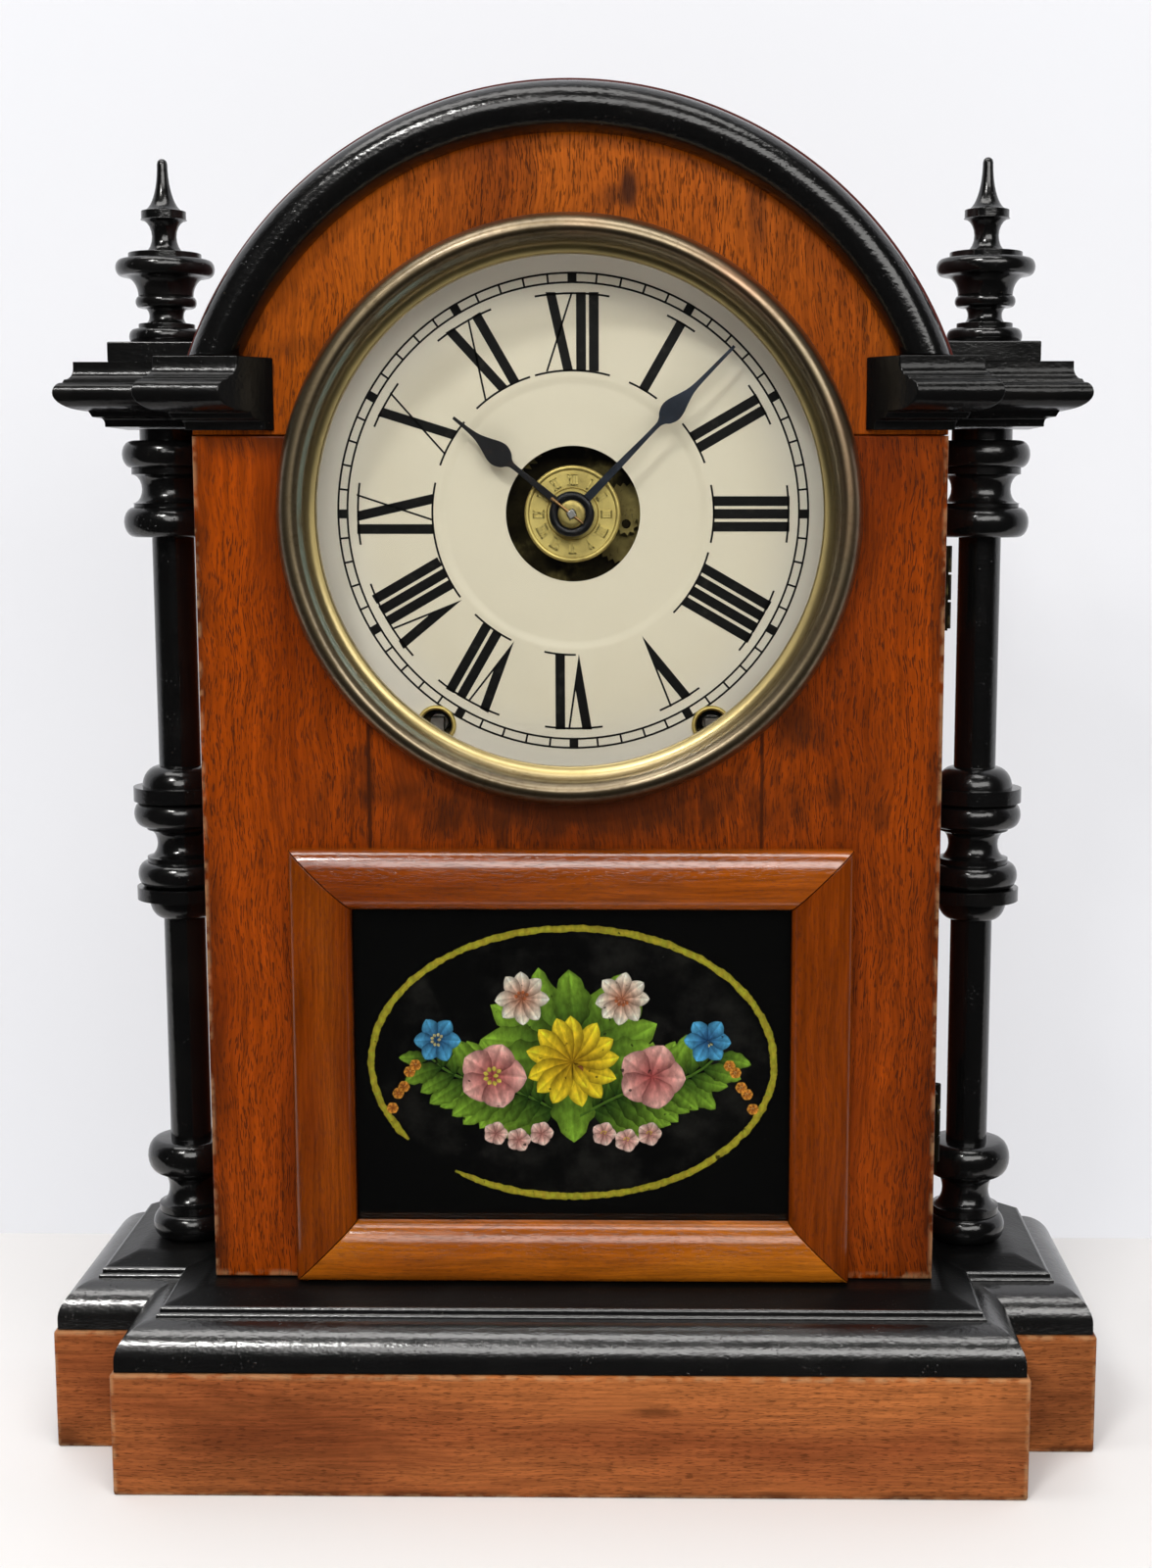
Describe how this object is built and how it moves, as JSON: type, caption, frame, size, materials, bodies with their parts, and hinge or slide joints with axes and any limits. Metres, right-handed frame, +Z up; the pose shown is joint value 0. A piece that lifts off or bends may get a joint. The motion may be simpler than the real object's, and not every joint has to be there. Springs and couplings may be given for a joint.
{
  "type": "shelf clock",
  "caption": "Arch-topped shelf clock with turned columns, a hinged glazed front, a round dial with hands, a painted lower glass and a striking pendulum movement.",
  "frame": {"origin": "centre of the underside of the base", "axes": "+X to the viewer's right, front faces -Y, +Z up"},
  "size_m": [0.288, 0.098, 0.3673],
  "materials": {
    "walnut": "polished veneer",
    "ebonised_wood": "black lacquer, gloss",
    "pine": "bare",
    "brass": "satin",
    "aged_brass": "tarnished",
    "steel": "satin",
    "cast_iron": "black",
    "blued_steel": "blued",
    "dial_paint": "satin",
    "painted_glass": "painted behind",
    "clear_glass": "clear"
  },
  "bodies": {
    "case": {"base_plinth": "walnut", "base_moulding": "ebonised_wood", "case_side_left": "walnut", "case_side_right": "walnut", "arch_shell": "walnut", "back_board": "pine", "capital_left": "ebonised_wood", "capital_right": "ebonised_wood", "column_left": "ebonised_wood", "column_right": "ebonised_wood", "finial_left": "ebonised_wood", "finial_right": "ebonised_wood", "dial_board": "pine", "dial_pan": "dial_paint", "winding_grommet_left": "brass", "winding_grommet_right": "brass", "hinge_upper_case_leaf": "brass", "hinge_lower_case_leaf": "brass", "movement_block": "pine", "movement_back_plate": "brass", "movement_front_plate": "brass", "gong_stand": "cast_iron", "gong_coil": "steel", "time_mainspring": "steel", "strike_mainspring": "steel"},
    "door": {"door_lower_panel": "walnut", "door_arch_panel": "walnut", "arch_moulding": "ebonised_wood", "door_capital_left": "ebonised_wood", "door_capital_right": "ebonised_wood", "tablet_rail_top": "walnut", "tablet_rail_bottom": "walnut", "tablet_rail_left": "walnut", "tablet_rail_right": "walnut", "tablet_glass": "painted_glass", "bezel": "aged_brass", "bezel_glass": "clear_glass", "hinge_upper_door_leaf": "brass", "hinge_lower_door_leaf": "brass"},
    "centre": {"centre_wheel": "brass", "minute_hand": "blued_steel", "hand_washer": "brass"},
    "hour": {"hour_wheel": "brass", "hour_hand": "blued_steel"},
    "minute": {"minute_wheel": "brass"},
    "alarm": {"alarm_disc": "brass"},
    "second": {"second_wheel": "brass"},
    "third": {"third_wheel": "brass"},
    "escape": {"escape_wheel": "brass"},
    "time_great": {"time_great_wheel": "brass"},
    "time_arbor": {"time_winding_arbor": "steel"},
    "strike_great": {"strike_great_wheel": "brass"},
    "strike_arbor": {"strike_winding_arbor": "steel"},
    "strike_pin": {"strike_pin_wheel": "brass"},
    "fly": {"strike_fly": "brass"},
    "hammer": {"strike_hammer": "steel"},
    "pendulum": {"pendulum_rod": "steel", "pendulum_bob": "brass"},
    "verge": {"verge": "steel"}
  },
  "joints": [
    {"name": "door_hinge", "type": "hinge", "parent": "case", "child": "door", "pos_m": [0.0999, -0.00485, 0.164], "axis": [0, 0, 1], "range_deg": [0, 58]},
    {"name": "minute_turn", "type": "hinge", "parent": "case", "child": "centre", "pos_m": [0, 0.0236, 0.2573], "axis": [0, 1, 0], "continuous": true},
    {"name": "hour_turn", "type": "hinge", "parent": "case", "child": "hour", "pos_m": [0, 0.0082, 0.2573], "axis": [0, 1, 0], "continuous": true},
    {"name": "minute_wheel_turn", "type": "hinge", "parent": "case", "child": "minute", "pos_m": [0.01414, 0.0106, 0.25455], "axis": [0, 1, 0], "continuous": true},
    {"name": "alarm_set", "type": "hinge", "parent": "hour", "child": "alarm", "pos_m": [0, -0.0035, 0.2573], "axis": [0, 1, 0], "continuous": true},
    {"name": "second_turn", "type": "hinge", "parent": "case", "child": "second", "pos_m": [-0.01527, 0.0189, 0.2255], "axis": [0, 1, 0], "continuous": true},
    {"name": "third_turn", "type": "hinge", "parent": "case", "child": "third", "pos_m": [-0.00032, 0.0296, 0.28148], "axis": [0, 1, 0], "continuous": true},
    {"name": "escape_turn", "type": "hinge", "parent": "case", "child": "escape", "pos_m": [-0.02, 0.0086, 0.2793], "axis": [0, 1, 0], "continuous": true},
    {"name": "time_great_turn", "type": "hinge", "parent": "case", "child": "time_great", "pos_m": [-0.0375, 0.0158, 0.2003], "axis": [0, 1, 0], "continuous": true},
    {"name": "time_winding", "type": "hinge", "parent": "time_great", "child": "time_arbor", "pos_m": [-0.0375, 0.0174, 0.2003], "axis": [0, 1, 0], "continuous": true},
    {"name": "strike_pin_turn", "type": "hinge", "parent": "case", "child": "strike_pin", "pos_m": [0.04333, 0.0189, 0.23339], "axis": [0, 1, 0], "continuous": true},
    {"name": "strike_great_turn", "type": "hinge", "parent": "case", "child": "strike_great", "pos_m": [0.0375, 0.0158, 0.2003], "axis": [0, 1, 0], "continuous": true},
    {"name": "strike_winding", "type": "hinge", "parent": "strike_great", "child": "strike_arbor", "pos_m": [0.0375, 0.0174, 0.2003], "axis": [0, 1, 0], "continuous": true},
    {"name": "fly_turn", "type": "hinge", "parent": "case", "child": "fly", "pos_m": [0.03313, 0.0302, 0.25106], "axis": [0, 1, 0], "continuous": true},
    {"name": "hammer_lift", "type": "hinge", "parent": "case", "child": "hammer", "pos_m": [0, 0.0247, 0.1873], "axis": [0, 1, 0], "range_deg": [0, 15]},
    {"name": "pendulum_swing", "type": "hinge", "parent": "case", "child": "pendulum", "pos_m": [-0.02, 0.0054, 0.3058], "axis": [0, 1, 0], "range_deg": [-4, 4]},
    {"name": "verge_rock", "type": "hinge", "parent": "case", "child": "verge", "pos_m": [-0.02, 0.0086, 0.2968], "axis": [0, 1, 0], "range_deg": [-5.5, 5.5]}
  ],
  "couplings": [
    {"joint": "minute_wheel_turn", "follows": "minute_turn", "ratio": -0.33333},
    {"joint": "hour_turn", "follows": "minute_turn", "ratio": 0.083333},
    {"joint": "second_turn", "follows": "minute_turn", "ratio": -0.2},
    {"joint": "time_great_turn", "follows": "minute_turn", "ratio": 0.033333},
    {"joint": "third_turn", "follows": "minute_turn", "ratio": -12},
    {"joint": "escape_turn", "follows": "minute_turn", "ratio": 120},
    {"joint": "strike_great_turn", "follows": "strike_pin_turn", "ratio": -0.16667},
    {"joint": "fly_turn", "follows": "strike_pin_turn", "ratio": -7.5},
    {"joint": "verge_rock", "follows": "pendulum_swing", "ratio": 1.3529}
  ]
}
